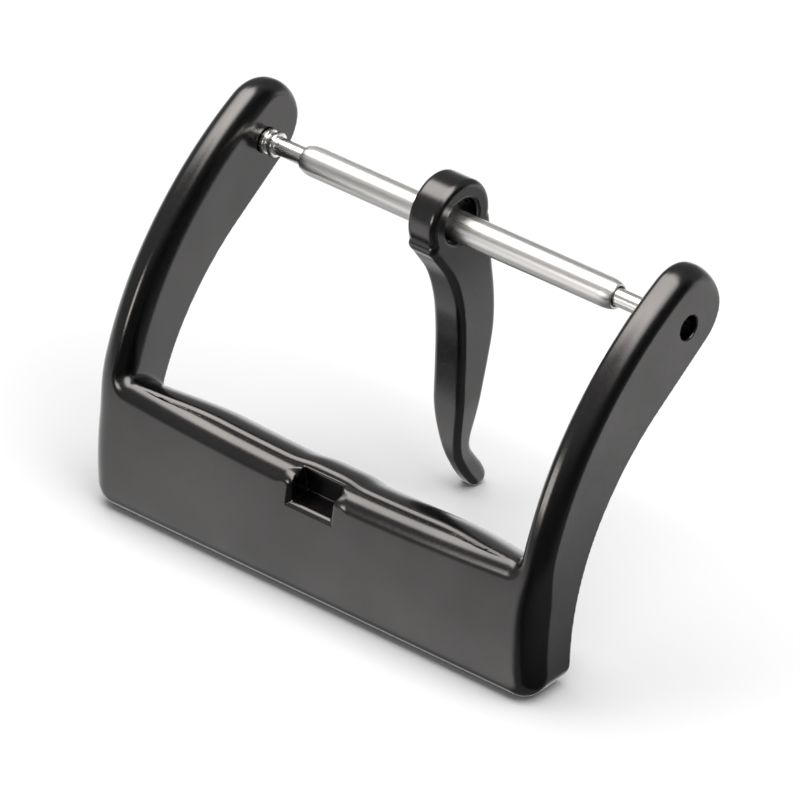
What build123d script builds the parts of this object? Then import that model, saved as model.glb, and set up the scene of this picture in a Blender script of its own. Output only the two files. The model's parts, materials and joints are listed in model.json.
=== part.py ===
"""Tang buckle for a 20 mm watch strap: frame, tongue and double-flange spring bar.

The buckle stands as it does on a table, propped on its front bar and on the toe of its tongue.
X runs along the spring bar, Y from the front bar back to the arms' ends, Z up.
Every piece is drawn about the spring bar's axis and then stood on the table.
"""
import os
from math import cos, radians, sin

from build123d import *

# Frame, seen from the front
strap_width = 20.0
arm_thickness = 1.4
corner_radius = 1.5

# Frame, seen from the side
pivot_height = 12.95
front_reach = 9.28
foot_depth = 2.37
end_radius = 1.9
end_lift = 0.5
crest_start_angle = 113.0
crest_kick_angle = 4.0
hollow_end_angle = -57.1

# Rounding of the frame's edges
outer_round = 0.5
inner_round = 0.5
heel_round = 0.5
opening_corner = 0.5

# Front bar's top edge, with depths measured from the front face
bar_top_height = 5.85
bar_top_sag = 0.35
bar_front_setback = 0.28
land_depth = 1.4
slope_angle = 32.0
groove_inset = 0.73
groove_depth = 0.3
groove_end_gap = 0.7

# Notch for the toe, with its depth measured from the front face
notch_width = 2.1
notch_depth = 0.93
notch_floor_drop = 1.75
notch_pad_length = 4.0
notch_pad_bulge = 0.3
notch_pad_drop = 0.06
notch_flare = 0.75
notch_corner = 0.35

# Pivot holes
pivot_hole_diameter = 1.0

# Spring bar
barrel_diameter = 1.25
barrel_wall = 0.1
barrel_length = 15.8
crimp_length = 0.55
running_gap = 0.05
shaft_diameter = 0.75
head_length = 0.6
head_setback = 0.5
flange_thickness = 0.2
flange_gap = 0.22
flange_neck_diameter = 0.82
pivot_diameter = 0.84
pivot_length = 1.0
pivot_chamfer = 0.12
seat_gap = 0.03

# Spring inside the barrel
spring_wire = 0.16
spring_turns = 6

# Tongue
tongue_allowance = 0.15
tongue_width = 1.4
toe_width = 0.85
tongue_offset = -0.55
eye_radius = 1.72
eye_bore_diameter = 1.9
eye_play_angle = 95.0
eye_front_angle = 195.0
eye_back_angle = -12.0
neck_front_angle = -58.0
toe_radius = 0.42
toe_reach = 1.42
toe_front_angle = -155.0
toe_back_angle = 20.0

overrun = 4.0

# Points of the outlines, as shares of the sizes that they follow
waist_share = 0.45
crest_shares = ((-0.68, -0.153), (-0.986, -0.649))
hollow_shares = ((-0.206, -0.2322), (-0.5424, -0.4771))
tongue_front_shares = ((-0.036, -0.185), (0.003, -0.30), (0.009, -0.45), (0.002, -0.65),
                       (0.002, -0.77), (0.018, -0.85))
tongue_back_shares = ((0.089, -0.862), (0.070, -0.79), (0.112, -0.62), (0.165, -0.40), (0.153, -0.20))

half_strap = strap_width / 2
half_width = half_strap + arm_thickness
table = -pivot_height
bar_top = table + bar_top_height
bar_middle = bar_top - bar_top_sag
bar_front = -front_reach + bar_front_setback
barrel_bore = barrel_diameter - 2 * barrel_wall
tongue_length = pivot_height + tongue_allowance


def scaled(shares, wide, high):
    """Turn a list of shares into points, wide along Y and high along Z."""
    return [(share_y * wide, share_z * high) for share_y, share_z in shares]


def polar(centre, radius, angle):
    """Point at an angle in degrees on a circle."""
    return (centre[0] + radius * cos(radians(angle)), centre[1] + radius * sin(radians(angle)))


def along(angle):
    """Unit direction at an angle in degrees."""
    return (cos(radians(angle)), sin(radians(angle)))


def edge_at(solid, *point):
    """The solid's edge nearest to a point."""
    target = Vector(*point)
    return min(solid.edges(), key=lambda edge: edge.distance_to(target))


def tangent_arcs(start, direction, points):
    """Arcs from start through the points, each leaving in the direction in which the last arrives."""
    arcs = []
    for point in points:
        arc = TangentArc(start, point, tangent=direction)
        arcs.append(arc)
        start, direction = point, arc % 1
    return arcs


def crest_curves():
    """Crest in the side view: in from beyond the round end, down the bowed front, on below the table."""
    start = polar((0, end_lift), end_radius, crest_start_angle)
    foot = (-front_reach, table)
    leaving = along(crest_start_angle + 90 + crest_kick_angle)
    shoulder, waist = scaled(crest_shares, front_reach, pivot_height)
    waist = (waist[0], min(waist[1], bar_middle - notch_flare))
    crest = tangent_arcs(start, leaving, [shoulder, waist, foot])
    landing = crest[-1] % 1
    lead = 2 * end_radius
    return [
        Line((start[0] - lead * leaving[0], start[1] - lead * leaving[1]), start),
        *crest,
        Line(foot, (foot[0] + overrun * landing.X, foot[1] + overrun * landing.Y)),
    ]


def side_outline():
    """Closed side view of the frame, uncut in front: round end, flat foot and hollow back."""
    end_centre = (0, end_lift)
    crest_start = polar(end_centre, end_radius, crest_start_angle)
    hollow_end = polar(end_centre, end_radius, hollow_end_angle)
    forward = along(crest_start_angle + 90)
    clear = -front_reach - overrun
    clear_z = crest_start[1] + (clear - crest_start[0]) * forward[1] / forward[0]
    foot_back = (-front_reach + foot_depth, table)
    hollow = tangent_arcs(hollow_end, along(hollow_end_angle - 90),
                          scaled(hollow_shares, front_reach, pivot_height) + [foot_back])
    outline = make_face([
        *hollow,
        Line(foot_back, (clear, table)),
        Line((clear, table), (clear, clear_z)),
        Line((clear, clear_z), crest_start),
        CenterArc(end_centre, end_radius, hollow_end_angle, crest_start_angle - hollow_end_angle),
    ])
    heel = min(outline.vertices(), key=lambda corner: corner.distance_to(Vector(*foot_back)))
    return fillet(heel, heel_round)


def frame_blank():
    """The side view as wide as the buckle, trimmed to a front view with two round lower corners."""
    side_view = extrude(Plane.YZ * side_outline(), half_width, both=True)
    top = end_radius + end_lift + overrun
    right, left = half_width, -half_width
    front_outline = make_face(Polyline(
        (left, table), (right, table), (right, top), (left, top), close=True))
    lower = front_outline.vertices().group_by(Axis.Y)[0]
    reach = front_reach + 2 * overrun
    front_view = extrude(Plane.XZ * fillet(lower, corner_radius), reach, both=True)
    return side_view & front_view


def opening_outline():
    """Front view of the space between the arms, down to the front bar's sagging top edge."""
    top = 2 * end_radius + end_lift + overrun
    left, right = (-half_strap, bar_top), (half_strap, bar_top)
    outline = make_face([
        ThreePointArc(left, (0, bar_middle), right),
        Line(right, (half_strap, top)),
        Line((half_strap, top), (-half_strap, top)),
        Line((-half_strap, top), left),
    ])
    lower = outline.vertices().group_by(Axis.Y)[0]
    return fillet(lower, opening_corner)


def mouth_outline():
    """The same view with the notch for the toe let into the bar, its top corners flared."""
    floor = bar_top - notch_floor_drop
    notch = Pos(0, floor + overrun / 2) * Rectangle(notch_width, overrun)
    outline = opening_outline() + notch
    outline = fillet(outline.vertices().group_by(Axis.Y)[0], notch_corner)
    near = outline.vertices().filter_by_position(Axis.X, -notch_width, notch_width)
    return fillet(near.filter_by_position(Axis.Y, floor + 2 * notch_corner, bar_top), notch_flare)


def crest_block():
    """Block whose front is the crest, cut open between the arms, with the edges of its front rounded."""
    curves = crest_curves()
    lead, low, middle = curves[0] @ 0, curves[-1] @ 1, curves[1] @ (1 / 2)
    corner = (lead.X, low.Y)
    outline = make_face([*curves, Line(low, corner), Line(corner, lead)])
    block = extrude(Plane.YZ * outline, half_width, both=True)
    outer = [edge_at(block, side * half_width, middle.X, middle.Y) for side in (-1, 1)]
    block = fillet(outer, outer_round)
    reach = front_reach + end_radius + overrun
    block = block - extrude(Plane.XZ * opening_outline(), reach, both=True)
    block = block - Pos(0, bar_front + notch_depth, 0) * extrude(Plane.XZ * mouth_outline(), overrun)
    return fillet(edge_at(block, half_strap / 2, bar_front, bar_middle), inner_round)


def back_slope():
    """Wedge that lets the bar's top fall away behind the two beads."""
    start_y, start_z = bar_front + land_depth, bar_middle
    slope = sin(radians(slope_angle)) / cos(radians(slope_angle))
    rise = bar_top_sag + overrun
    upper = (start_y - rise / slope, start_z + rise)
    lower = (start_y + front_reach, start_z - front_reach * slope)
    outline = make_face(Polyline(upper, lower, (lower[0], upper[1]), close=True))
    return extrude(Plane.YZ * outline, half_strap, both=True)


def bead_groove():
    """Sharp groove between the two beads: a tool on its edge that dips in the middle of the bar."""
    half_length, tool = half_strap - groove_end_gap, 2 * groove_depth
    middle_y = bar_front + groove_inset
    left, right = (-half_length, middle_y, bar_top + tool), (half_length, middle_y, bar_top + tool)
    path = ThreePointArc(left, (0, middle_y, bar_middle - groove_depth + tool), right)
    section = Plane(path @ 0, x_dir=(0, 1, 0), z_dir=path % 0) * RegularPolygon(tool, 4)
    return sweep(section, path)


def notch_pad():
    """Bulge that carries the second bead round the back of the notch."""
    front = bar_front + land_depth - notch_pad_bulge
    half_length, back = notch_pad_length / 2, front + 2 * notch_pad_bulge
    left, right = (-half_length, front), (half_length, front)
    outline = make_face([ThreePointArc(left, (0, back), right), Line(right, left)])
    return Pos(0, 0, bar_middle - notch_pad_drop) * extrude(outline, -groove_depth)


def buckle_frame():
    """The cast frame in one piece."""
    frame = frame_blank() & crest_block()
    frame = frame - back_slope()
    frame = frame - bead_groove()
    frame = frame + notch_pad()
    hole = Rot(0, 90, 0) * Cylinder(pivot_hole_diameter / 2, 2 * (half_width + overrun))
    return frame - hole


def tongue_outline(eye):
    """Closed side view of the tongue about the centre of its eye."""
    def place(shares):
        return [(eye[0] + y, eye[1] + z) for y, z in scaled(shares, tongue_length, tongue_length)]

    front_start = polar(eye, eye_radius, eye_front_angle)
    back_end = polar(eye, eye_radius, eye_back_angle)
    toe = (eye[0] + toe_reach, table + toe_radius)
    toe_front = polar(toe, toe_radius, toe_front_angle)
    toe_back = polar(toe, toe_radius, toe_back_angle)
    toe_end = polar(toe, toe_radius, (toe_front_angle + toe_back_angle) / 2)
    front = Spline([front_start] + place(tongue_front_shares) + [toe_front],
                   tangents=(along(neck_front_angle), along(toe_front_angle + 90)))
    back = Spline([toe_back] + place(tongue_back_shares) + [back_end],
                  tangents=(along(toe_back_angle + 90), along(eye_back_angle + 90)))
    head = CenterArc(eye, eye_radius, eye_back_angle, eye_front_angle - eye_back_angle)
    return make_face([front, ThreePointArc(toe_front, toe_end, toe_back), back, head])


def tongue_front_view(middle):
    """Closed front view of the tongue: even down to the waist, then drawn in to the toe by two arcs."""
    half_eye, half_toe = tongue_width / 2, toe_width / 2
    top, waist = middle + eye_radius + overrun, middle - tongue_length * waist_share
    right = TangentArc((half_eye, waist), (half_toe, table), tangent=(0, -1))
    left = TangentArc((-half_eye, waist), (-half_toe, table), tangent=(0, -1))
    return make_face([
        right, left,
        Line((half_toe, table), (-half_toe, table)),
        Line((-half_eye, waist), (-half_eye, top)),
        Line((-half_eye, top), (half_eye, top)),
        Line((half_eye, top), (half_eye, waist)),
    ])


def tongue():
    """The tongue: eye, deep neck and hooked toe, narrowed towards the toe."""
    play = (eye_bore_diameter - barrel_diameter) / 2 - running_gap
    eye = polar((0, 0), play, eye_play_angle)
    side_view = extrude(Plane.YZ * tongue_outline(eye), tongue_width, both=True)
    front_view = extrude(Plane.XZ * tongue_front_view(eye[1]), tongue_length, both=True)
    bore = Pos(0, *eye) * Rot(0, 90, 0) * Cylinder(eye_bore_diameter / 2, tongue_width + overrun)
    return Pos(tongue_offset, 0, 0) * ((side_view & front_view) - bore)


def turned(points):
    """A round piece turned about the spring bar's axis from (x, radius) points."""
    return revolve(make_face(Polyline(*points, close=True)), Axis.X)


def spring_bar_barrel():
    """Thin tube whose two ends are crimped in over the tips' heads."""
    inner, outer = barrel_bore / 2, barrel_diameter / 2
    neck = shaft_diameter / 2 + running_gap
    end, bend = barrel_length / 2, barrel_length / 2 - crimp_length
    half = [
        Line((0, inner), (0, outer)),
        Line((0, outer), (bend, outer)),
        TangentArc((bend, outer), (end, neck + barrel_wall), tangent=(1, 0)),
        Line((end, neck + barrel_wall), (end, neck)),
        Line((end, neck), (bend, inner)),
        Line((bend, inner), (0, inner)),
    ]
    right = revolve(make_face(half), Axis.X)
    return right + mirror(right, Plane.YZ)


def tip(side):
    """One tip: head inside the barrel, shaft, double flange, pivot. Side is -1 or 1."""
    head_radius = barrel_bore / 2 - running_gap
    shaft = shaft_diameter / 2
    flange = barrel_diameter / 2
    neck = flange_neck_diameter / 2
    pivot = pivot_diameter / 2
    seat = half_strap - seat_gap
    second = seat - flange_thickness
    first = second - flange_gap
    start = first - flange_thickness
    head_end = barrel_length / 2 - crimp_length - head_setback
    head_start = head_end - head_length
    end = seat + pivot_length
    points = [
        (head_start, 0), (head_start, head_radius), (head_end, head_radius), (head_end, shaft),
        (start, shaft), (start, flange), (first, flange), (first, neck), (second, neck),
        (second, flange), (seat, flange), (seat, pivot), (end - pivot_chamfer, pivot),
        (end, pivot - pivot_chamfer), (end, 0),
    ]
    return turned([(side * x, radius) for x, radius in points])


def spring_bar_spring():
    """Coil between the two heads: one wire wound about the spring bar's axis."""
    head_start = barrel_length / 2 - crimp_length - head_setback - head_length
    half_length = head_start - running_gap - spring_wire / 2
    coil_radius = barrel_bore / 2 - running_gap - spring_wire / 2
    pitch = 2 * half_length / spring_turns
    path = Helix(pitch, 2 * half_length, coil_radius, center=(-half_length, 0, 0), direction=(1, 0, 0))
    section = Plane(path @ 0, x_dir=(1, 0, 0), z_dir=path % 0) * Rectangle(spring_wire, spring_wire)
    print("spring: pitch", round(pitch, 3), "gap between turns", round(pitch - spring_wire, 3), "mm")
    return sweep(section, path, is_frenet=True)


def main():
    pieces = {
        "buckle_frame": buckle_frame(),
        "tongue": tongue(),
        "spring_bar_barrel": spring_bar_barrel(),
        "spring_bar_left_tip": tip(-1),
        "spring_bar_right_tip": tip(1),
        "spring_bar_spring": spring_bar_spring(),
    }
    box = Compound(children=[Part(piece.wrapped) for piece in pieces.values()]).bounding_box()
    stand = Pos(0, -box.center().Y, -box.min.Z)
    print("spring bar axis: y", round(-box.center().Y, 4), "z", round(-box.min.Z, 4), "mm")
    os.makedirs("parts", exist_ok=True)
    for name, piece in pieces.items():
        export_step(stand * piece, "parts/" + name + ".step")
        print(name, round(piece.volume, 3), "mm3", len(piece.faces()), "faces")


main()
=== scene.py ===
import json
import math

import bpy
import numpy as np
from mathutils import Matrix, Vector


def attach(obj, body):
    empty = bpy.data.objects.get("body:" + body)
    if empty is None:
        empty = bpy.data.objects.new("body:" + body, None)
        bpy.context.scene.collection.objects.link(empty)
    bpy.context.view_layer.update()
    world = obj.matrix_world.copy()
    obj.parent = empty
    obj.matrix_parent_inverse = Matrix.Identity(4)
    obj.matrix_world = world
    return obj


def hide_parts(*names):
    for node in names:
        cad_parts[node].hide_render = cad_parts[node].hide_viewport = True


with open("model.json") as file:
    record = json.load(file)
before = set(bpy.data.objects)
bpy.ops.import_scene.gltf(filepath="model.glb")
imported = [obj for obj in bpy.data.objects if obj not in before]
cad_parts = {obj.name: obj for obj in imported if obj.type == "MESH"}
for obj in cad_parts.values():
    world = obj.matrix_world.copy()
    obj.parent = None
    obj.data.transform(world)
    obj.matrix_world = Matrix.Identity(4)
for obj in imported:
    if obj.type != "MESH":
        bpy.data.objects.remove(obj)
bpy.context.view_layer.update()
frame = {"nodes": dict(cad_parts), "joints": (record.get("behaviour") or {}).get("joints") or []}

# %% [markdown]
# # A black tang buckle with its spring bar
#
# A tang buckle closes a watch strap. It has a cast frame, a tongue that swings
# on a steel spring bar, and the spring bar itself: a tube with a sprung tip at
# each end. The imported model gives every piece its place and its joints. This
# lesson gives the pieces their polished shapes, their finishes and the studio
# that they are photographed in.
#
# All measures below are millimetres from the pin: the middle of the spring
# bar's axis. X runs along the spring bar, Y to the back and Z up. That is how
# the maker of a buckle would dimension it, because everything turns about the
# pin. One line turns a mesh into Blender's metres at the very end.

MM = 0.001
hinge = next(joint for joint in frame["joints"] if joint["name"] == "frame_turn")
PIN = np.array(hinge["pos_m"]) / MM
TABLE_Z = -PIN[2]
print("the pin is", PIN, "mm from the row's origin, the table at", TABLE_Z)

# %% [markdown]
# ## Skinning a shape that is given as a distance
#
# A cast and polished frame has edges whose roundness changes along the way,
# a bead that splits in two and a notch cut through it. No single grid of two
# parameters covers that, and in a sculpted mesh no size could be set. So a
# formula says for any point how far outside the metal it lies (negative
# inside), and rounded edges come from blending two distances. Then a skin is
# laid where the distance is zero.
#
# The skin is a surface net. Space is cut into small boxes. Each box that the
# surface passes through gets one vertex, and each box edge that it crosses
# gets one four-sided face. A few steps along the slope of the distance then
# put every vertex on the surface.

# %% Distances: how two of them meet, and how they change
SLOPE_REACH = 0.01


def round_edge(a, b, radius):
    """Both shapes at once, with a rounded outer edge.

    Where both distances are nearer than the radius, the result is the distance
    to a circle of that radius that touches both faces.
    """
    inner = np.minimum(np.maximum(a, b), -radius)
    return inner + np.hypot(np.maximum(a + radius, 0), np.maximum(b + radius, 0))


def blend_steps(value, low, high):
    """A smooth step: 0 below low, 1 above high, level at both ends.

    Between them it is t squared * (3 - 2 t), where t is the share of the way.
    """
    t = np.clip((value - low) / (high - low), 0, 1)
    return t * t * (3 - 2 * t)


def slopes(distance, points):
    """Slope of a distance in X, Y and Z: its difference across a short reach, per millimetre."""
    found = []
    for axis in np.eye(3) * SLOPE_REACH:
        ahead, behind = points + axis, points - axis
        found.append((distance(*ahead.T) - distance(*behind.T)) / (2 * SLOPE_REACH))
    return np.stack(found, axis=1)


def settle(distance, points, rounds, stride):
    """Points moved down the slope until the distance is zero.

    A round moves a point by minus distance * slope / slope squared, at most one stride.
    """
    for _ in range(rounds):
        slope = slopes(distance, points)
        steep = np.maximum((slope ** 2).sum(axis=1, keepdims=True), 1e-6)
        move = -distance(*points.T)[:, None] * slope / steep
        size = np.maximum(np.linalg.norm(move, axis=1, keepdims=True), 1e-12)
        points = points + move * np.minimum(1, stride / size)
    return points


# %% The surface net
def surface_net(distance, xs, ys, zs):
    """Vertices and four-sided faces of the surface where the distance is zero.

    The three lists give the box corners along each axis, so boxes can be fine
    where the shape is fine. A vertex starts at the mean of the crossings of its
    box's edges. A face is turned round where its edge starts outside the metal
    or exactly on its surface, so that all faces point outwards.
    """
    value = distance(xs[:, None, None], ys[None, :, None], zs[None, None, :])
    value = np.broadcast_to(value, (len(xs), len(ys), len(zs)))
    corners = (xs, ys, zs)
    boxes = np.array(value.shape) - 1
    total = np.zeros((boxes.prod(), 3))
    hits = np.zeros(boxes.prod())
    faces = []
    one = np.eye(3, dtype=int)

    def place(index):
        return np.stack([corners[k][index[:, k]] for k in range(3)], axis=1)

    for axis in range(3):
        side, other = one[(axis + 1) % 3], one[(axis + 2) % 3]
        low = np.moveaxis(value, axis, 0)[:-1]
        high = np.moveaxis(value, axis, 0)[1:]
        edge = np.argwhere((low < 0) != (high < 0))
        edge = np.insert(edge[:, 1:], axis, edge[:, 0], axis=1)
        start, end = value[tuple(edge.T)], value[tuple((edge + one[axis]).T)]
        share = (start / (start - end))[:, None]
        point = place(edge) * (1 - share) + place(edge + one[axis]) * share
        around = [edge, edge - side, edge - side - other, edge - other]
        flat = [np.ravel_multi_index(tuple(box.T), boxes) for box in around]
        for box in flat:
            np.add.at(total, box, point)
            np.add.at(hits, box, 1)
        face = np.stack(flat, axis=1)
        face[start >= 0] = face[start >= 0][:, ::-1]
        faces.append(face)
    used = np.flatnonzero(hits)
    number = np.zeros(boxes.prod(), dtype=int)
    number[used] = np.arange(len(used))
    return total[used] / hits[used, None], number[np.concatenate(faces)]


def even_out(points, faces):
    """Each vertex moved halfway to the mean of the middles of the faces around it."""
    middle = points[faces].mean(axis=1)
    total = np.zeros_like(points)
    count = np.zeros(len(points))
    for corner in range(4):
        np.add.at(total, faces[:, corner], middle)
        np.add.at(count, faces[:, corner], 1)
    return points + 0.5 * (total / count[:, None] - points)


def skin(distance, xs, ys, zs):
    """A settled and evened surface net, and the outward direction at each vertex."""
    points, faces = surface_net(distance, xs, ys, zs)
    stride = float(np.diff(ys).min()) / 2
    for _ in range(2):
        points = settle(distance, points, 2, stride)
        points = even_out(points, faces)
    points = settle(distance, points, 4, stride)
    outward = slopes(distance, points)
    outward /= np.linalg.norm(outward, axis=1, keepdims=True)
    return points, faces.tolist(), outward


def steps_between(*stations):
    """Box corners: (place, step) pairs, each step used up to the next place."""
    parts = []
    for (low, step), (high, _) in zip(stations, stations[1:]):
        parts.append(np.linspace(low, high, max(2, round((high - low) / step) + 1))[:-1])
    return np.concatenate(parts + [[stations[-1][0]]])


# %% Meshes: from pin millimetres to Blender metres
def add_piece(name, points, faces, outward, body, nodes, slot):
    """A mesh object in metres that rides on a body and stands for its CAD nodes."""
    mesh = bpy.data.meshes.new(name)
    mesh.from_pydata(((points + PIN) * MM).tolist(), [], faces)
    mesh.shade_smooth()
    mesh.update()
    mesh.normals_split_custom_set_from_vertices(outward.tolist())
    piece = bpy.data.objects.new(name, mesh)
    bpy.context.scene.collection.objects.link(piece)
    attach(piece, body)
    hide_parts(*nodes)
    low, high = points.min(axis=0), points.max(axis=0)
    print(name, len(points), "vertices, from", low.round(2), "to", high.round(2))
    return piece


# %% [markdown]
# ## The frame's side view
#
# Seen from the side the frame is one bowed outline: a round end about the pin,
# a crest that bows down to the face, and a hollow behind it. A designer draws
# that with a few arcs, each starting in the direction the last one ended. Then
# only the points where arcs meet have to be measured, and no joint shows.

# %% Arcs that run into one another
def arc_chain(start, heading, stops):
    """Arcs from stop to stop, each starting along the heading that the last one ended on.

    An arc that leaves along a heading and passes through a point has the radius
    chord squared / (2 * chord across the heading). It is kept as centre, signed
    radius (positive turns left), start angle and turn.
    """
    arcs = []
    here = np.array(start, float)
    for stop in stops:
        chord = np.array(stop, float) - here
        left = np.array((-math.sin(heading), math.cos(heading)))
        radius = chord @ chord / (2 * chord @ left)
        centre = here + radius * left
        first = math.atan2(*(here - centre)[::-1])
        last = math.atan2(*(np.array(stop) - centre)[::-1])
        turn = (last - first + math.pi) % (2 * math.pi) - math.pi
        arcs.append((centre, radius, first, turn))
        heading += turn
        here = np.array(stop, float)
    return arcs, heading


def reversed_chain(arcs):
    """The same arcs walked the other way, which turns left turns into right turns."""
    return [(centre, -radius, first + turn, -turn) for centre, radius, first, turn in arcs[::-1]]


# %% The frame's own outline, in Y and Z
END_CENTRE = np.array((0.12, 0.5))
END_RADIUS = 1.9
CREST_START = math.radians(115.6)
HOLLOW_START = math.radians(-57.1)
CREST_STOPS = [(-6.17, -2.02), (-9.2, -8.4), (-9.38, TABLE_Z)]
HOLLOW_STOPS = [(-1.8, -3.0), (-5.1, -6.15), (-6.95, TABLE_Z)]
FAR = 3.0


def on_end(angle):
    """The point of the round end at an angle."""
    return END_CENTRE + END_RADIUS * np.array((math.cos(angle), math.sin(angle)))


quarter = math.pi / 2
crest, crest_heading = arc_chain(on_end(CREST_START), CREST_START + quarter, CREST_STOPS)
hollow, hollow_heading = arc_chain(on_end(HOLLOW_START), HOLLOW_START - quarter, HOLLOW_STOPS)
round_end = (END_CENTRE, END_RADIUS, HOLLOW_START, CREST_START - HOLLOW_START)
chain = reversed_chain(hollow) + [round_end] + crest
lengths = np.array([abs(radius * turn) for _, radius, _, turn in chain])
starts = np.concatenate(([0], np.cumsum(lengths)))
END_FROM, END_TO = starts[len(hollow)], starts[len(hollow) + 1]
legs = ((CREST_STOPS[-1], crest_heading, 1, starts[-1]),
        (HOLLOW_STOPS[-1], hollow_heading, -1, 0.0))
print("outline arcs", len(chain), "radii", [round(arc[1], 1) for arc in chain])


def side_outline(y, z):
    """Distance to the outline in the side view, and how far along it the nearest point is.

    The distance to an arc is the distance to its centre less its radius, where
    the point lies in the arc's fan, and the nearest arc wins. Below the table
    the crest and the hollow run on straight. A point that none of them reaches
    counts as far outside.
    """
    best = np.full(np.broadcast(y, z).shape, np.inf)
    signed = best.copy()
    along = np.zeros_like(best)
    for (centre, radius, first, turn), start in zip(chain, starts):
        dy, dz = y - centre[0], z - centre[1]
        gap = (np.hypot(dy, dz) - abs(radius)) * np.sign(radius)
        angle = (np.arctan2(dz, dy) - first - turn / 2 + math.pi) % (2 * math.pi) - math.pi
        inside = (np.abs(angle) <= abs(turn) / 2 + 1e-9) & (np.abs(gap) < best)
        walked = start + (angle * np.sign(turn) + abs(turn) / 2) * abs(radius)
        best = np.where(inside, np.abs(gap), best)
        signed = np.where(inside, gap, signed)
        along = np.where(inside, walked, along)
    for point, heading, way, start in legs:
        dy, dz = y - point[0], z - point[1]
        run = dy * math.cos(heading) + dz * math.sin(heading)
        gap = -way * (-dy * math.sin(heading) + dz * math.cos(heading))
        inside = (run >= 0) & (np.abs(gap) < best)
        best = np.where(inside, np.abs(gap), best)
        signed = np.where(inside, gap, signed)
        along = np.where(inside, start, along)
    return np.where(np.isfinite(signed), signed, FAR), along


# %% [markdown]
# ## The frame
#
# The casting is polished by hand, so its edges aren't equally round: the crest
# is full and soft, the hollow behind is crisp, and the softness fades out over
# the round end. The front bar's top carries a double bead with a lens-shaped
# groove between its lips, and a notch in the middle catches the toe of the
# tongue.
#
# It could be cut from boxes and bevelled, but a bevel has one width along its
# edge. Here the radius of each rounding is a formula, so it can fade.
#
# The sizes come first, in three groups. A pair is a range over which something
# fades in: shares of the way over the round end, depths below the pin, or
# depths in front of it.

# %% Sizes of the body, its edges and the rim of its opening
HALF_WIDTH = 11.4
HALF_OPENING = 10.0
HOLE_RADIUS = 0.5
HOLE_ROUND = 0.06
CRISP = 0.1
CREST_ROUND = 0.75
CREST_SHARES = (0.2, 0.66)
PLATE_ROUND = 1.0
PLATE_DEPTHS = (6.5, 9.0)
BOTTOM_CORNER = 1.1
FOOT_ROUND = 0.7
FOOT_BLEND = 0.8
ROLL_STEEPNESS = 0.07
ROLL_REACH = 1.1
ROLL_DEPTHS = (7.0, 9.0)
INNER_ROUND = 0.55
INNER_STRETCH = 0.9
INNER_SHARES = (0.6, 1.0)

# %% Sizes of the bead
TOP_MIDDLE = -7.47
TOP_RISE = 0.42
TOP_STEEPNESS = 0.9
OPENING_CORNER = 0.22
BEAD_ROUND = 0.6
BAR_BLEND = 0.5
GROOVE_Y = -8.23
GROOVE_DEPTH = 0.2
GROOVE_FRONT = 0.14
MERGE_SHARES = (0.55, 0.97)
MERGE_SHIFT = 0.3
SWELL = 0.2
SWELL_HALF = 1.4
BEAD_RADIUS = 0.38
BACK_SLOPE = 0.15
BACK_BOW = 0.23

# %% Sizes of the notch
NOTCH_HALF = 1.03
NOTCH_FLOOR = -8.66
NOTCH_BACK = -8.08
NOTCH_LEAN = 0.15
NOTCH_ROUND = 0.22
NOTCH_BLEND = 0.35
NOTCH_CRISP = 0.08
NOTCH_FLARE = 0.55
FLARE_DEPTHS = (8.35, 8.75)


# %% The front bar's top: two beads, a groove and a bowed back
def bar_top(x, y):
    """Height of the front bar's top.

    The top sags as a parabola. The groove's front wall is a parabola too, its
    back wall is the front of the second bead, a circle, and behind the bead's
    crest the top bows down to the back: slope * distance + bow * distance
    squared. Near the arms the groove moves forward and fades out, so that the
    beads become one, and behind the notch it swells back round it.
    """
    share = np.abs(x) / HALF_OPENING
    crest_height = TOP_MIDDLE + TOP_RISE * share ** 2
    merge = blend_steps(share, *MERGE_SHARES)
    depth = GROOVE_DEPTH * (1 - merge)
    swell = SWELL * np.exp(-(x / SWELL_HALF) ** 4)
    back = y - (GROOVE_Y - MERGE_SHIFT * merge + swell)
    front_wall = depth * np.clip(1 + back / GROOVE_FRONT, 0, 1) ** 2
    bead_middle = np.sqrt(BEAD_RADIUS ** 2 - (BEAD_RADIUS - depth) ** 2)
    ahead = np.clip(bead_middle - back, 0, BEAD_RADIUS)
    bead_front = BEAD_RADIUS - np.sqrt(BEAD_RADIUS ** 2 - ahead ** 2)
    behind = np.maximum(back - bead_middle, 0)
    fall = BACK_SLOPE * behind + BACK_BOW * behind ** 2
    return crest_height - np.where(back < 0, front_wall, np.minimum(bead_front, depth)) - fall


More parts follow.
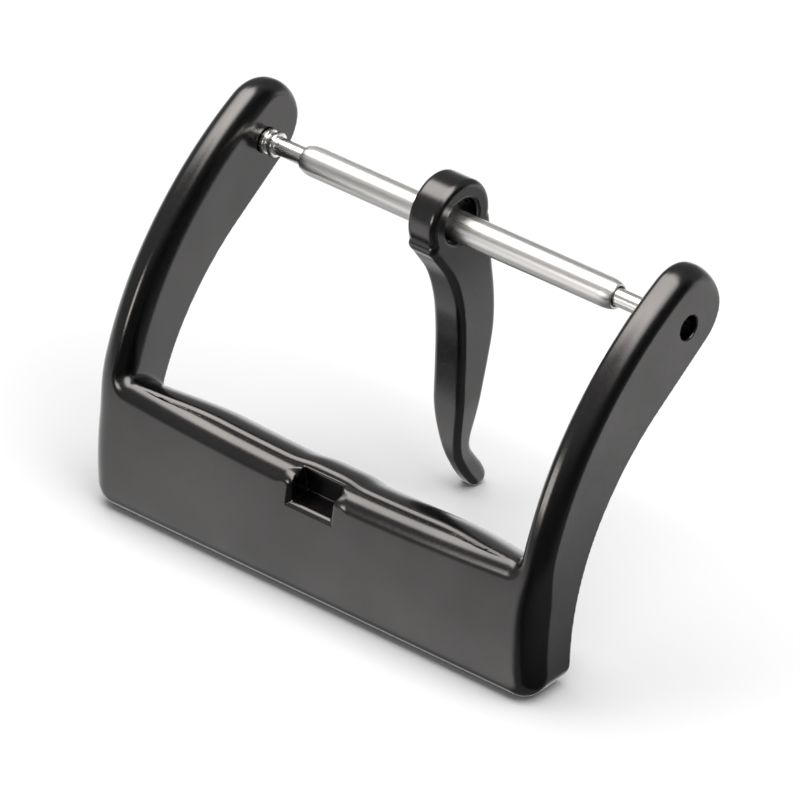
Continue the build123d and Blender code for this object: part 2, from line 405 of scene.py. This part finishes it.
# %% The frame as one distance
def frame_distance(x, y, z):
    """Distance to the buckle frame.

    The side view and the front view meet in rounded edges. The strap opening
    and the notch are one space, whose own corner is flared, and that space is
    taken out with a rounded rim. On the arms the rim is an ellipse: dividing
    the metal's distance by a stretch makes the rounding reach that much deeper
    than it is wide. Last come the holes for the spring bar.
    """
    side, along = side_outline(y, z)
    wide = np.abs(x)
    share = (along - END_FROM) / (END_TO - END_FROM)
    crestness = blend_steps(share, *CREST_SHARES)

    edge = np.minimum(HALF_WIDTH - wide, z - TABLE_Z)
    roll = ROLL_STEEPNESS * np.clip(ROLL_REACH - edge, 0, 1) ** 2 * crestness
    side = side + roll * blend_steps(-z, *ROLL_DEPTHS)

    bottom = TABLE_Z - z
    front_view = round_edge(wide - HALF_WIDTH, bottom, BOTTOM_CORNER)
    at_foot = blend_steps(bottom - wide + HALF_WIDTH, -FOOT_BLEND, FOOT_BLEND)
    full = CREST_ROUND + (PLATE_ROUND - CREST_ROUND) * blend_steps(-z, *PLATE_DEPTHS)
    outer = CRISP + (full - CRISP) * crestness
    metal = round_edge(side, front_view, outer * (1 - at_foot) + FOOT_ROUND * at_foot)

    top = (bar_top(x, y) - z) * TOP_STEEPNESS
    opening = round_edge(wide - HALF_OPENING, top, OPENING_CORNER)
    back_wall = NOTCH_BACK - NOTCH_LEAN * (z - NOTCH_FLOOR)
    notch = np.maximum(np.maximum(wide - NOTCH_HALF, y - back_wall), NOTCH_FLOOR - z)
    flare = NOTCH_CRISP + (NOTCH_FLARE - NOTCH_CRISP) * blend_steps(-y, *FLARE_DEPTHS)
    kept = round_edge(-opening, -notch, flare)

    at_notch = blend_steps(opening - notch, -NOTCH_BLEND, NOTCH_BLEND)
    on_bar = blend_steps(top - wide + HALF_OPENING, -BAR_BLEND, BAR_BLEND)
    rim = (INNER_ROUND - CRISP) * (1 - on_bar) + (BEAD_ROUND - CRISP) * on_bar
    inner = CRISP + rim * crestness
    stretch = 1 + INNER_STRETCH * blend_steps(share, *INNER_SHARES) * (1 - on_bar) * (1 - at_notch)
    metal = round_edge(metal / stretch, kept, inner * (1 - at_notch) + NOTCH_ROUND * at_notch)

    hole = np.hypot(y, z) - HOLE_RADIUS
    return round_edge(metal, -hole, HOLE_ROUND)


# %% The frame's mesh: fine boxes at the bead, the notch and the pivot holes
frame_xs = steps_between((-11.6, 0.1), (-9.2, 0.22), (-2.4, 0.07), (2.4, 0.22), (9.2, 0.1),
                         (11.6, 0.1))
frame_ys = steps_between((-9.7, 0.06), (-7.7, 0.11), (-0.7, 0.05), (0.7, 0.1), (2.3, 0.1))
frame_zs = steps_between((TABLE_Z - 0.2, 0.12), (-9.1, 0.06), (-6.7, 0.11), (-0.7, 0.05),
                         (0.7, 0.1), (2.7, 0.1))
frame_piece = add_piece("frame_polished", *skin(frame_distance, frame_xs, frame_ys, frame_zs),
                        "frame", ["buckle_frame"], "frame_black")

# %% [markdown]
# ## The tongue
#
# The tongue is one casting too: an eye that turns on the spring bar, a deep
# neck that narrows, and a toe that hooks back. The neck's front face starts at
# a crisp crease under the eye. A flat outline pushed out to a width would be
# the quick way, but the tongue tapers to its toe and the mouths of its bore are
# rounded, so it is a distance too.
#
# Its outline has no simple arcs and is a smooth curve through measured points.
# The distance to so long a curve is slow to work out, so it is worked out once
# on a fine grid and read from there.

# %% Distance to a closed line of points
SPAN_POINTS = 10


def smooth_closed(points):
    """Closed curve through the points.

    Each span is a cubic that leaves and arrives along half the chord between
    its neighbours.
    """
    points = np.array(points, float)
    t = np.linspace(0, 1, SPAN_POINTS, endpoint=False)[:, None]
    before, after, beyond = (np.roll(points, k, axis=0) for k in (1, -1, -2))
    curve = []
    for a, b, c, d in zip(before, points, after, beyond):
        curve.append(0.5 * (2 * b + (c - a) * t + (2 * a - 5 * b + 4 * c - d) * t ** 2
                            + (3 * b - a - 3 * c + d) * t ** 3))
    return np.concatenate(curve)


def to_closed_line(y, z, line):
    """Distance to a closed line, negative inside.

    The nearest point of each piece of line gives the size. The sign comes from
    how often a level ray from the point crosses the line.
    """
    shape = np.broadcast(y, z).shape
    spot = np.stack([np.broadcast_to(part, shape).ravel() for part in (y, z)], axis=1)
    nearest = np.full(len(spot), np.inf)
    odd = np.zeros(len(spot), bool)
    for a, b in zip(line, np.roll(line, -1, axis=0)):
        chord, reach = b - a, spot - a
        share = np.clip(reach @ chord / (chord @ chord), 0, 1)
        nearest = np.minimum(nearest, ((reach - share[:, None] * chord) ** 2).sum(axis=1))
        if a[1] != b[1]:
            crosses = (a[1] > spot[:, 1]) != (b[1] > spot[:, 1])
            odd ^= crosses & (spot[:, 0] < a[0] + (spot[:, 1] - a[1]) * chord[0] / chord[1])
    return np.where(odd, -1, 1).reshape(shape) * np.sqrt(nearest).reshape(shape)


# %% Sizes of the tongue
EYE = np.array((-0.024, 0.274))
EYE_RADIUS = 1.72
EYE_BORE = 0.95
BORE_ROUND = 0.14
NECK = [(-1.25, 0.1), (-1.72, -0.45), (-1.4, -1.0), (-0.6, -2.25), (-0.15, -3.7), (-0.02, -5.2),
        (-0.05, -6.8), (-0.13, -8.6), (-0.13, -9.9), (0.02, -10.9), (0.42, -11.8), (0.9, -12.55),
        (1.25, -12.92), (1.72, -12.88), (1.87, -12.5), (1.66, -12.0), (1.26, -11.4), (0.9, -10.8),
        (0.86, -10.2), (1.1, -9.2), (1.42, -8.0), (1.72, -6.9), (2.0, -5.7), (2.08, -4.7),
        (2.04, -3.6), (1.9, -2.4), (1.78, -1.1), (1.69, -0.1), (1.2, 0.3), (0.0, 0.4)]
TONGUE_MIDDLE = -0.65
TONGUE_HALF = 0.78
TONGUE_ROUND = 0.27
TOE_DEPTHS = (8.3, 11.6)
TOE_SHIFT = 0.1
TOE_TRIM = 0.35
SIDE_TURN = 0.025
SIDE_TURN_Y = 1.0

# %% The neck's distance, worked out once
GRID = 0.025
LAST_BOX = 1.001
grid_y = np.arange(-2.6, 3.0, GRID)
grid_z = np.arange(TABLE_Z - 0.7, 2.8, GRID)
neck_grid = to_closed_line(grid_y[:, None], grid_z[None, :], smooth_closed(NECK))
print("the neck's grid has", neck_grid.shape, "points")


def neck_distance(y, z):
    """Distance to the neck's outline, read from the grid.

    Between the four grid points around a place the value is weighted by how
    near the place is to each of them. A place off the grid reads its last box.
    """
    v = np.clip((y - grid_y[0]) / GRID, 0, len(grid_y) - LAST_BOX)
    w = np.clip((z - grid_z[0]) / GRID, 0, len(grid_z) - LAST_BOX)
    i, j = v.astype(int), w.astype(int)
    v, w = v - i, w - j
    low = neck_grid[i, j] * (1 - v) + neck_grid[i + 1, j] * v
    high = neck_grid[i, j + 1] * (1 - v) + neck_grid[i + 1, j + 1] * v
    return low * (1 - w) + high * w


# %% The tongue as one distance
def tongue_distance(x, y, z):
    """Distance to the tongue.

    Eye and neck side by side in the side view are given a width that tapers to
    the toe and, a little, to the front. The edges are rounded and the eye's
    bore is taken out.
    """
    neck = neck_distance(*np.broadcast_arrays(y, z))
    to_eye = np.hypot(y - EYE[0], z - EYE[1])
    side = np.minimum(neck, to_eye - EYE_RADIUS)
    narrow = blend_steps(-z, *TOE_DEPTHS)
    across = np.abs(x - TONGUE_MIDDLE - TOE_SHIFT * narrow) - TONGUE_HALF
    across = across + TOE_TRIM * narrow + SIDE_TURN * (SIDE_TURN_Y - y)
    metal = round_edge(side, across, TONGUE_ROUND)
    return round_edge(metal, EYE_BORE - to_eye, BORE_ROUND)


# %% The tongue's mesh
tongue_xs = steps_between((-1.6, 0.07), (0.3, 0.07))
tongue_ys = steps_between((-2.0, 0.07), (2.4, 0.07))
tongue_zs = steps_between((TABLE_Z - 0.1, 0.08), (2.2, 0.08))
tongue_piece = add_piece("tongue_polished", *skin(tongue_distance, tongue_xs, tongue_ys, tongue_zs),
                         "tongue", ["tongue"], "tongue_black")

# %% [markdown]
# ## The spring bar
#
# A spring bar is turned work: a thin tube with crimped ends, and in each end a
# tip with a head inside the tube, a shaft, two flanges and a pivot. Each piece
# is a side line swung about the axis, which Blender's Spin tool does too. Here
# the same few lines also work out which way the surface faces, so that it
# shades smoothly. On a lathe no corner comes out sharp, so every corner of the
# line is softened first.

# %% Turned pieces
CORNER_STEPS = 4
SIDE_SHARE = 0.45
PER_TURN = 96
AXIS = np.array((1.0, 0, 0))
CLOSED = 0.001


def soften(line, radius):
    """The line with each inner corner replaced by a curve along its two sides.

    The curve is (1 - t) squared * start + 2 t (1 - t) * corner + t squared * end.
    It takes no more than a share of either side, so that neighbours never meet.
    """
    line = np.array(line, float)
    t = np.linspace(0, 1, CORNER_STEPS)[:, None]
    parts = [line[:1]]
    for before, corner, after in zip(line, line[1:], line[2:]):
        back, ahead = before - corner, after - corner
        long_back, long_ahead = np.linalg.norm(back), np.linalg.norm(ahead)
        cut = min(radius, SIDE_SHARE * long_back, SIDE_SHARE * long_ahead)
        start = corner + back * cut / long_back
        end = corner + ahead * cut / long_ahead
        parts.append((1 - t) ** 2 * start + 2 * t * (1 - t) * corner + t ** 2 * end)
    return np.concatenate(parts + [line[-1:]])


def turned(line):
    """A side line of (place on the axis, radius) swung about the axis, with closed ends.

    A point of it is place * axis + radius * (cos, sin) of the turn. Its outward
    direction stands square on the chord between its neighbours on the line. The
    line ends just off the axis, and a flat cap closes each end.
    """
    angle = np.linspace(0, 2 * math.pi, PER_TURN, endpoint=False)
    ring = np.stack([np.zeros(PER_TURN), np.cos(angle), np.sin(angle)], axis=1)
    points = line[:, None, 1:] * ring + line[:, None, :1] * AXIS
    ahead = np.gradient(line, axis=0)
    across = np.stack([-ahead[:, 1], ahead[:, 0]], axis=1)
    across /= np.linalg.norm(across, axis=1, keepdims=True)
    outward = across[:, None, 1:] * ring + across[:, None, :1] * AXIS
    k, j = np.meshgrid(np.arange(len(line) - 1), np.arange(PER_TURN), indexing="ij")
    this, following = k * PER_TURN + j, k * PER_TURN + (j + 1) % PER_TURN
    faces = np.stack([this, following, following + PER_TURN, this + PER_TURN], axis=-1)
    last = len(line) * PER_TURN
    caps = [list(range(PER_TURN - 1, -1, -1)), list(range(last - PER_TURN, last))]
    return points.reshape(-1, 3), faces.reshape(-1, 4).tolist() + caps, outward.reshape(-1, 3)


# %% The barrel: a tube whose ends curve in over the tips' heads
TUBE_RADIUS = 0.625
TUBE_BEND, TUBE_END = 7.35, 7.9
TUBE_LIP, TUBE_BORE = 0.525, 0.43
BORE_DEPTH = 0.3
TUBE_FLOOR = TUBE_END - BORE_DEPTH
TUBE_SOFT = 0.04
BEND_POINTS = 7
bend = np.linspace(0, 1, BEND_POINTS)[1:-1, None]
inwards = bend ** 2 * np.array((0, TUBE_RADIUS - TUBE_LIP))
crimp = np.array((TUBE_BEND, TUBE_RADIUS)) + bend * np.array((TUBE_END - TUBE_BEND, 0)) - inwards
half_tube = np.concatenate([
    [(0.0, TUBE_RADIUS), (TUBE_BEND, TUBE_RADIUS)], crimp,
    [(TUBE_END, TUBE_LIP), (TUBE_END, TUBE_BORE), (TUBE_FLOOR, TUBE_BORE), (TUBE_FLOOR, CLOSED)],
])
tube = np.concatenate([half_tube[::-1] * (-1, 1), half_tube[1:]])
barrel_piece = add_piece("barrel_turned", *turned(soften(tube, TUBE_SOFT)),
                         "barrel", ["spring_bar_barrel"], "barrel_steel")

# %% The tips: head, shaft, two flanges with a groove between them, pivot
HEAD_FROM, HEAD_TO, HEAD_RADIUS = 6.3, 6.8, 0.46
SHAFT_RADIUS = 0.375
SEAT, FLANGE, GAP = 9.97, 0.2, 0.22
FLANGE_RADIUS, WAIST_RADIUS = 0.53, 0.4
PIVOT_RADIUS, PIVOT_REACH = 0.42, 0.65
PIVOT_END = SEAT + PIVOT_REACH
TIP_SOFT = 0.05
edges = SEAT - np.array((2 * FLANGE + GAP, FLANGE + GAP, FLANGE, 0))
right_line = soften([
    (HEAD_FROM, CLOSED), (HEAD_FROM, HEAD_RADIUS), (HEAD_TO, HEAD_RADIUS), (HEAD_TO, SHAFT_RADIUS),
    (edges[0], SHAFT_RADIUS), (edges[0], FLANGE_RADIUS), (edges[1], FLANGE_RADIUS),
    (edges[1], WAIST_RADIUS), (edges[2], WAIST_RADIUS), (edges[2], FLANGE_RADIUS),
    (edges[3], FLANGE_RADIUS), (edges[3], PIVOT_RADIUS),
    (PIVOT_END, PIVOT_RADIUS), (PIVOT_END, CLOSED),
], TIP_SOFT)
left_line = right_line[::-1] * (-1, 1)
tip_pieces = [
    add_piece("right_tip_turned", *turned(right_line),
              "right_tip", ["spring_bar_right_tip"], "tip_steel"),
    add_piece("left_tip_turned", *turned(left_line),
              "left_tip", ["spring_bar_left_tip"], "tip_steel"),
]

# %% [markdown]
# ## Finishes
#
# Black coated steel is a dark mirror: nearly all that it shows is what it
# reflects. It could be a black plastic with a clear coat, but seen face on that
# mirrors too little, so it is a metal with a low colour. Real coats aren't
# perfectly even. A soft noise about 4 mm wide varies the colour, and a grain of
# about a tenth of a millimetre varies the gloss and dents the surface by a hair.
#
# The spring bar is bare drawn steel. Its fine marks run along the axis, so a
# noise is stretched that way and drives the gloss.

# %% Small helpers for node trees
class Nodes:
    """A node tree whose nodes are added one call at a time."""

    def __init__(self, tree):
        self.nodes, self.links = tree.nodes, tree.links

    def add(self, kind, inputs=None, **settings):
        """A node with its settings and its inputs, each a number or another node's output."""
        node = self.nodes.new(kind)
        for key, value in settings.items():
            setattr(node, key, value)
        for key, value in (inputs or {}).items():
            if isinstance(value, bpy.types.NodeSocket):
                self.links.new(value, node.inputs[key])
            else:
                node.inputs[key].default_value = value
        return node

    def maths(self, operation, *values):
        """The result of a sum on numbers or outputs."""
        return self.add("ShaderNodeMath", dict(enumerate(values)), operation=operation).outputs[0]

    def ramp(self, source, low, high, to_low, to_high):
        """A straight ramp from to_low at low to to_high at high, level beyond both."""
        return self.add("ShaderNodeMapRange", {
            "Value": source, "From Min": low, "From Max": high, "To Min": to_low, "To Max": to_high,
        }).outputs["Result"]

    def blend_colours(self, factor, first, second):
        """A colour between two, by a factor. Places 6 and 7 are the node's colour inputs."""
        return self.add("ShaderNodeMix", {0: factor, 6: first, 7: second},
                        data_type="RGBA").outputs[2]


class Finish(Nodes):
    """A material, with its shader and its Object coordinates at hand."""

    def __init__(self, name):
        self.material = bpy.data.materials.new(name)
        self.material.use_nodes = True
        super().__init__(self.material.node_tree)
        self.shader = self.nodes["Principled BSDF"]
        self.object = self.add("ShaderNodeTexCoord").outputs["Object"]

    def set(self, **inputs):
        """The shader's inputs, each a number or another node's output."""
        for key, value in inputs.items():
            socket = self.shader.inputs[key.replace("_", " ")]
            if isinstance(value, bpy.types.NodeSocket):
                self.links.new(value, socket)
            else:
                socket.default_value = value

    def noise(self, vector, scale, detail, roughness=0.5):
        """A noise between 0 and 1."""
        return self.add("ShaderNodeTexNoise", {
            "Vector": vector, "Scale": scale, "Detail": detail, "Roughness": roughness,
        }).outputs["Fac"]

    def show(self, shader):
        """The material's surface is this shader."""
        self.links.new(shader, self.nodes["Material Output"].inputs["Surface"])


# %% Black coat
COAT_DARK = (0.076, 0.074, 0.073, 1)
COAT_LIGHT = (0.090, 0.087, 0.086, 1)
COAT_ROUGHNESS = 0.2
SMOOTHER, ROUGHER = 0.03, 0.04
GRAIN_SCALE, WAVER_SCALE = 9000.0, 260.0
GRAIN_RANGE, WAVER_RANGE = (0.3, 0.7), (0.35, 0.65)
DENT, DENT_STRENGTH = 0.00002, 0.06


def black_coat(name):
    """Black coated steel: a dark metal whose gloss wavers a little, with fine grain."""
    finish = Finish(name)
    grain = finish.noise(finish.object, GRAIN_SCALE, 3.0, 0.6)
    waver = finish.noise(finish.object, WAVER_SCALE, 2.0)
    share = finish.ramp(waver, *WAVER_RANGE, 0.0, 1.0)
    gloss = finish.ramp(grain, *GRAIN_RANGE, COAT_ROUGHNESS - SMOOTHER, COAT_ROUGHNESS + ROUGHER)
    bump = finish.add("ShaderNodeBump", {
        "Height": grain, "Strength": DENT_STRENGTH, "Distance": DENT,
    }).outputs["Normal"]
    tone = finish.blend_colours(share, COAT_DARK, COAT_LIGHT)
    finish.set(Base_Color=tone, Metallic=1.0, Roughness=gloss, Normal=bump)
    return finish.material


frame_piece.data.materials.append(black_coat("frame_black_coat"))
tongue_piece.data.materials.append(black_coat("tongue_black_coat"))

# %% Satin steel
STEEL = (0.84, 0.83, 0.81, 1)
STREAKS = (30.0, 9000.0, 9000.0)


def satin_steel(name, low, high):
    """Drawn steel: fine streaks along the axis make its gloss waver across them."""
    finish = Finish(name)
    streaks = finish.add("ShaderNodeMapping", {"Vector": finish.object, "Scale": STREAKS})
    lines = finish.noise(streaks.outputs["Vector"], 1.0, 2.0)
    gloss = finish.ramp(lines, *GRAIN_RANGE, low, high)
    finish.set(Base_Color=STEEL, Metallic=1.0, Roughness=gloss)
    return finish.material


barrel_piece.data.materials.append(satin_steel("barrel_satin", 0.26, 0.42))
for piece in tip_pieces:
    piece.data.materials.append(satin_steel(piece.name + "_steel", 0.2, 0.32))
spring = frame["nodes"]["spring_bar_spring"]
spring.data.materials.clear()
spring.data.materials.append(satin_steel("spring_steel", 0.2, 0.3))
print("finishes:", sorted(material.name for material in bpy.data.materials))

# %% [markdown]
# ## The studio
#
# The buckle was photographed from the right front, about 32 degrees above the
# table. The lens is a long one, which keeps both arms nearly the same size.

# %% Camera
CAMERA_FROM = np.array((210.35, -254.78, 208.73))
CAMERA_LOOK = np.array((-0.53689, 0.64086, -0.54869))
camera_data = bpy.data.cameras.new("camera")
camera_data.lens = 450.0
camera_data.sensor_width = 36.0
camera_data.clip_start = 0.01
camera_data.clip_end = 10.0
camera = bpy.data.objects.new("camera", camera_data)
bpy.context.scene.collection.objects.link(camera)
rightwards = np.cross(CAMERA_LOOK, (0, 0, 1))
rightwards /= np.linalg.norm(rightwards)
upwards = np.cross(rightwards, CAMERA_LOOK)
aim = Matrix((rightwards, upwards, -CAMERA_LOOK)).transposed().to_4x4()
camera.matrix_world = Matrix.Translation(Vector((CAMERA_FROM + PIN) * MM)) @ aim
bpy.context.scene.camera = camera
print("the camera is", round(float(np.linalg.norm(CAMERA_FROM))), "mm from the pin")

# %% [markdown]
# ## Floor and background
#
# The background is white. The camera sees it at full strength, but it lights
# the floor at less than half of that, which leaves the shadow its depth. A
# plain white picture could stand behind the buckle, but it would take no shadow,
# so there is a floor of white paper too.
#
# Rays that bounce off the metal don't see the paper. They pass through it into
# the room described below, and lose light where they pass right of the buckle:
# that is a painted shadow, a darkening by place in X that stands for the
# buckle's own shadow seen in its side. The sizes of floor and room are metres.

# %% Floor
FLOOR_HALF = 1.5
PAPER = (0.84, 0.84, 0.84, 1)
SHADOW_FROM, SHADOW_TO = HALF_WIDTH * MM, 20 * MM
SHADOW_TONE = 0.25
floor_mesh = bpy.data.meshes.new("floor")
floor_corners = [(x * FLOOR_HALF, y * FLOOR_HALF, 0) for x, y in ((-1, -1), (1, -1), (1, 1), (-1, 1))]
floor_mesh.from_pydata(floor_corners, [], [(0, 1, 2, 3)])
floor = bpy.data.objects.new("floor", floor_mesh)
bpy.context.scene.collection.objects.link(floor)
paper = Finish("floor_paper")
paper.set(Base_Color=PAPER, Roughness=0.9, Specular_IOR_Level=0.0)
floor_x = paper.add("ShaderNodeSeparateXYZ", {0: paper.object}).outputs["X"]
# Painted shadow: reflections that pass the floor right of the buckle are darkened by their place in X
shadow = paper.ramp(floor_x, SHADOW_FROM, SHADOW_TO, SHADOW_TONE, 1.0)
passed = paper.maths("MAXIMUM", shadow, paper.maths("LESS_THAN", floor_x, SHADOW_FROM))
grey = paper.add("ShaderNodeCombineXYZ", {0: passed, 1: passed, 2: passed}).outputs[0]
glass = paper.add("ShaderNodeBsdfTransparent", {"Color": grey}).outputs[0]
bounced = paper.add("ShaderNodeLightPath").outputs["Is Glossy Ray"]
paper.show(paper.add("ShaderNodeMixShader", {
    0: bounced, 1: paper.shader.outputs[0], 2: glass,
}).outputs[0])
floor_mesh.materials.append(paper.material)

# %% White background
PLAIN_LEVEL = 0.4
world = bpy.data.worlds.new("studio")
bpy.context.scene.world = world
world.use_nodes = True
studio = Nodes(world.node_tree)
background = studio.nodes["Background"]
background.inputs["Color"].default_value = (1, 1, 1, 1)
rays = studio.add("ShaderNodeLightPath").outputs
mirrored = studio.maths("ADD", rays["Is Glossy Ray"], rays["Is Transmission Ray"])
seen = studio.maths("ADD", rays["Is Camera Ray"], mirrored)
studio.links.new(studio.ramp(seen, 0.0, 1.0, PLAIN_LEVEL, 1.0), background.inputs["Strength"])

# %% [markdown]
# ## The room that the metal shows
#
# A glossy black thing is drawn by its surroundings: a white table, a dark wall
# from the front round the right side, a broad light overhead. Cards and lamps
# could stand there, but their borders are hard and their light is noisy. So
# they are painted on the inside of a large sphere that only reflections see, by
# direction: the height of a direction is the sine of its elevation, and azimuth
# runs from +X.
#
# Each ramp below is one border in that picture. The wall starts softly at the
# front and ends sharply behind the right side, the table is dark straight down
# because the buckle shades it, and the overhead light fades to its sides.

# %% The sphere
ROOM_RADIUS = 0.7
ROOM_STEP = 10
WARM = (1.0, 0.97, 0.94)


def toward(azimuth, elevation):
    """Unit vector at an azimuth from +X and an elevation from the table, in degrees."""
    a, e = math.radians(azimuth), math.radians(elevation)
    return np.array((math.cos(e) * math.cos(a), math.cos(e) * math.sin(a), math.sin(e)))


around = np.arange(0, 360, ROOM_STEP)
upright = np.arange(-90, 91, ROOM_STEP)
room_points = np.stack([toward(a, e) * ROOM_RADIUS for a in around for e in upright])
columns, rows = np.meshgrid(np.arange(len(around)), np.arange(len(upright) - 1), indexing="ij")
this = columns * len(upright) + rows
following = (columns + 1) % len(around) * len(upright) + rows
quads = np.stack([this, this + 1, following + 1, following], axis=-1).reshape(-1, 4)
room_mesh = bpy.data.meshes.new("room")
room_mesh.from_pydata(room_points.tolist(), [], quads.tolist())
room = bpy.data.objects.new("room", room_mesh)
bpy.context.scene.collection.objects.link(room)
for ray in ("camera", "diffuse", "transmission", "volume_scatter", "shadow"):
    setattr(room, "visible_" + ray, False)
print("the room has", len(quads), "faces and a radius of", ROOM_RADIUS, "m")

# %% Table and dark wall: two heights and their two tones, and the wall's azimuths
TABLE_TONES = (-0.2, 0.0, 1.22, 0.3)
SHADED_TABLE = (-0.88, -0.66, 0.12, 1.0)
WALL_TOP = (0.2, 0.7, 0.06, 0.28)
WALL_FOOT = (-0.5, -0.2, 0.2, 0.05)
WALL_START = (math.radians(-127), math.radians(-100))
WALL_END = (math.radians(42), math.radians(47))
walls = Finish("room_walls")
walls.nodes.remove(walls.shader)
way = walls.add("ShaderNodeVectorMath", {0: walls.object}, operation="NORMALIZE").outputs[0]
parts = walls.add("ShaderNodeSeparateXYZ", {0: way}).outputs
height = parts["Z"]
azimuth = walls.maths("ARCTAN2", parts["Y"], parts["X"])
table = walls.maths("MULTIPLY", walls.ramp(height, *TABLE_TONES), walls.ramp(height, *SHADED_TABLE))
wall = walls.maths("MAXIMUM", walls.ramp(height, *WALL_TOP), walls.ramp(height, *WALL_FOOT))
before_end = walls.ramp(azimuth, *WALL_END, 1.0, 0.0)
past_start = walls.ramp(azimuth, *WALL_START, 0.0, 1.0)
on_wall = walls.maths("MINIMUM", before_end, past_start)
tone = walls.add("ShaderNodeMix", {0: on_wall, 2: table, 3: wall}).outputs[0]

# %% Overhead light
OVERHEAD = 5.0
LOWEST = 0.05
LEAN_X = (0.55, 1.7)
LEAN_Y = (0.28, 0.5)


def spread(part, low, high):
    """1 where a direction leans less than low per unit of height, 0 beyond high."""
    lean = walls.maths("ABSOLUTE", walls.maths("DIVIDE", parts[part], height))
    return walls.ramp(lean, low, high, 1.0, 0.0)


above = walls.maths("GREATER_THAN", height, LOWEST)
lit = walls.maths("MULTIPLY", above, spread("X", *LEAN_X))
lit = walls.maths("MULTIPLY", lit, spread("Y", *LEAN_Y))
glow = walls.add("ShaderNodeEmission", {
    "Color": walls.blend_colours(lit, (1, 1, 1, 1), (*WARM, 1)),
    "Strength": walls.maths("MULTIPLY_ADD", lit, OVERHEAD, tone),
})
walls.show(glow.outputs[0])
walls.material.cycles.emission_sampling = "NONE"
room_mesh.materials.append(walls.material)
print("the room's picture has", len(walls.nodes), "nodes")

# %% [markdown]
# ## Lamps
#
# The overhead softbox lights the floor and casts the shadow. The metal doesn't
# see it, because it has the painted one to reflect. A small lamp at the front
# draws the short second highlight on each arm, and doesn't light the floor.

# %% Softboxes
def softbox(name, place, target, wide, high, radiance, colour=(1, 1, 1)):
    """A lit rectangle that looks from a place at a target, both in pin millimetres.

    Its power is radiance * pi * area.
    """
    data = bpy.data.lights.new(name, "AREA")
    data.shape = "RECTANGLE"
    data.size, data.size_y = wide * MM, high * MM
    data.energy = radiance * math.pi * data.size * data.size_y
    data.color = colour
    light = bpy.data.objects.new(name, data)
    bpy.context.scene.collection.objects.link(light)
    place, target = (Vector((np.array(point) + PIN) * MM) for point in (place, target))
    turn = (target - place).to_track_quat("-Z", "Y").to_matrix().to_4x4()
    light.matrix_world = Matrix.Translation(place) @ turn
    print(name, "lamp:", round(data.energy, 6), "W")
    return light


overhead = softbox("overhead", (65, 0, 450), (65, 0, 0), 760, 330, 3.6)
overhead.visible_glossy = False
front = softbox("front", (-7.7, -42.6, 9.5), (0, -8, -4), 16, 13, 5.0, WARM)
front.visible_diffuse = False

bpy.context.scene.view_settings.view_transform = "Standard"
